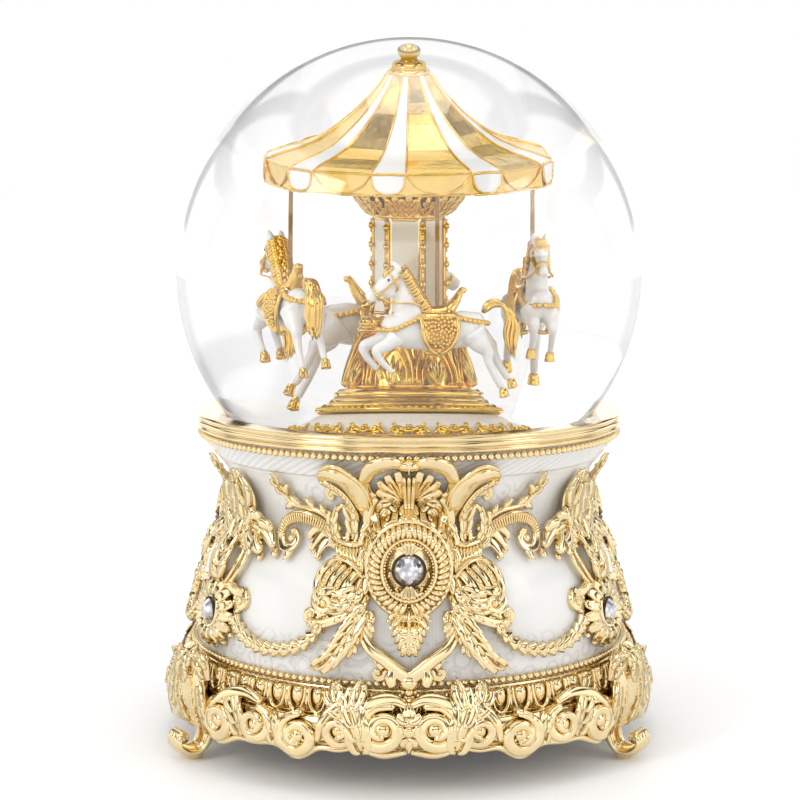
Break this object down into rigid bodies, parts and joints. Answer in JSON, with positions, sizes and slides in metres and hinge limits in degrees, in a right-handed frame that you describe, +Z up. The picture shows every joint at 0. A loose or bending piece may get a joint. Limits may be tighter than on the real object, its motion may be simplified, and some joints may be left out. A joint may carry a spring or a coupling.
{
  "type": "carousel music box",
  "caption": "Wind-up music box on a footed bell-shaped base, with a horse carousel that turns inside a water-filled glass globe.",
  "frame": {"origin": "on the globe's vertical axis, on the surface that the three feet stand on", "axes": "+Z up along the globe's and the carousel's axis, -Y out of the front medallion, +X to the right seen from the front"},
  "size_m": [0.104, 0.1092, 0.15],
  "materials": {
    "gold_plate": "polished gold plating on cast resin and zinc",
    "enamel_white": "pearl white enamel",
    "clear_glass": "clear polished glass",
    "crystal": "faceted clear crystal",
    "plug_rubber": "moulded white rubber",
    "gasket_rubber": "moulded black rubber",
    "stand_white": "gloss white",
    "plate_black": "matt black",
    "movement_brass": "machined",
    "movement_steel": "machined",
    "spring_steel": "blued",
    "nickel": "nickel plated",
    "magnet_grey": "sintered, coated",
    "fan_plastic": "moulded",
    "column_cream": "polished cream mirror panel",
    "canopy_gold": "hammered gold plating with white enamel stripes",
    "horse_enamel": "white enamel with gold trim"
  },
  "bodies": {
    "base": {"base_housing": "enamel_white", "top_rim": "gold_plate", "rim_bead_string": "gold_plate", "base_skirt": "gold_plate", "lower_bead_string": "gold_plate", "bottom_plate": "plate_black", "plate_screws": "nickel", "foot_front_left": "gold_plate", "foot_front_right": "gold_plate", "foot_back": "gold_plate", "apron_front": "gold_plate", "apron_left": "gold_plate", "apron_right": "gold_plate", "cartouche_front": "gold_plate", "cartouche_left": "gold_plate", "cartouche_right": "gold_plate", "rosettes": "gold_plate", "crystals": "crystal", "garlands": "gold_plate", "leaf_branches": "gold_plate", "globe_glass": "clear_glass", "globe_plug": "plug_rubber", "globe_gasket": "gasket_rubber", "carousel_stand": "stand_white", "stand_crown_ring": "gold_plate", "spindle_bush": "movement_brass", "movement_bedplate": "nickel", "movement_screws": "nickel", "bearing_posts": "nickel", "music_comb": "movement_steel", "comb_base": "nickel", "comb_screws": "nickel"},
    "key": {"winding_key": "nickel", "winding_arbor": "movement_steel"},
    "barrel": {"spring_barrel": "movement_brass", "barrel_cover": "movement_brass", "mainspring": "spring_steel", "output_shaft": "movement_steel", "drive_magnet": "magnet_grey"},
    "drum": {"drum_arbor": "movement_steel", "drum_wheel": "movement_brass", "pin_drum": "movement_brass"},
    "governor": {"governor_pinion": "movement_steel", "governor_fan": "fan_plastic"},
    "carousel": {"spindle": "movement_steel", "driven_magnet": "magnet_grey", "turntable_base": "gold_plate", "leaf_drum": "gold_plate", "ball_ring": "gold_plate", "column_core": "gold_plate", "column_panels": "column_cream", "column_strips": "gold_plate", "capital": "gold_plate", "canopy": "canopy_gold", "finial": "gold_plate", "horse_poles": "gold_plate", "horse_front": "horse_enamel", "horse_right": "horse_enamel", "horse_back": "horse_enamel", "horse_left": "horse_enamel"}
  },
  "joints": [
    {"name": "carousel_spin", "type": "hinge", "parent": "base", "child": "carousel", "pos_m": [0, 0, 0.0766], "axis": [0, 0, 1], "continuous": true},
    {"name": "barrel_spin", "type": "hinge", "parent": "base", "child": "barrel", "pos_m": [0, 0, 0.019], "axis": [0, 0, 1], "continuous": true},
    {"name": "drum_spin", "type": "hinge", "parent": "base", "child": "drum", "pos_m": [0.01, 0, 0.03155], "axis": [1, 0, 0], "continuous": true},
    {"name": "governor_spin", "type": "hinge", "parent": "base", "child": "governor", "pos_m": [0.0123, 0.0113, 0.03155], "axis": [1, 0, 0], "continuous": true},
    {"name": "key_turn", "type": "hinge", "parent": "base", "child": "key", "pos_m": [0, 0, 0.0055], "axis": [0, 0, 1], "continuous": true}
  ],
  "couplings": [
    {"joint": "barrel_spin", "follows": "carousel_spin", "ratio": 1},
    {"joint": "drum_spin", "follows": "carousel_spin", "ratio": 4},
    {"joint": "governor_spin", "follows": "carousel_spin", "ratio": -24}
  ]
}
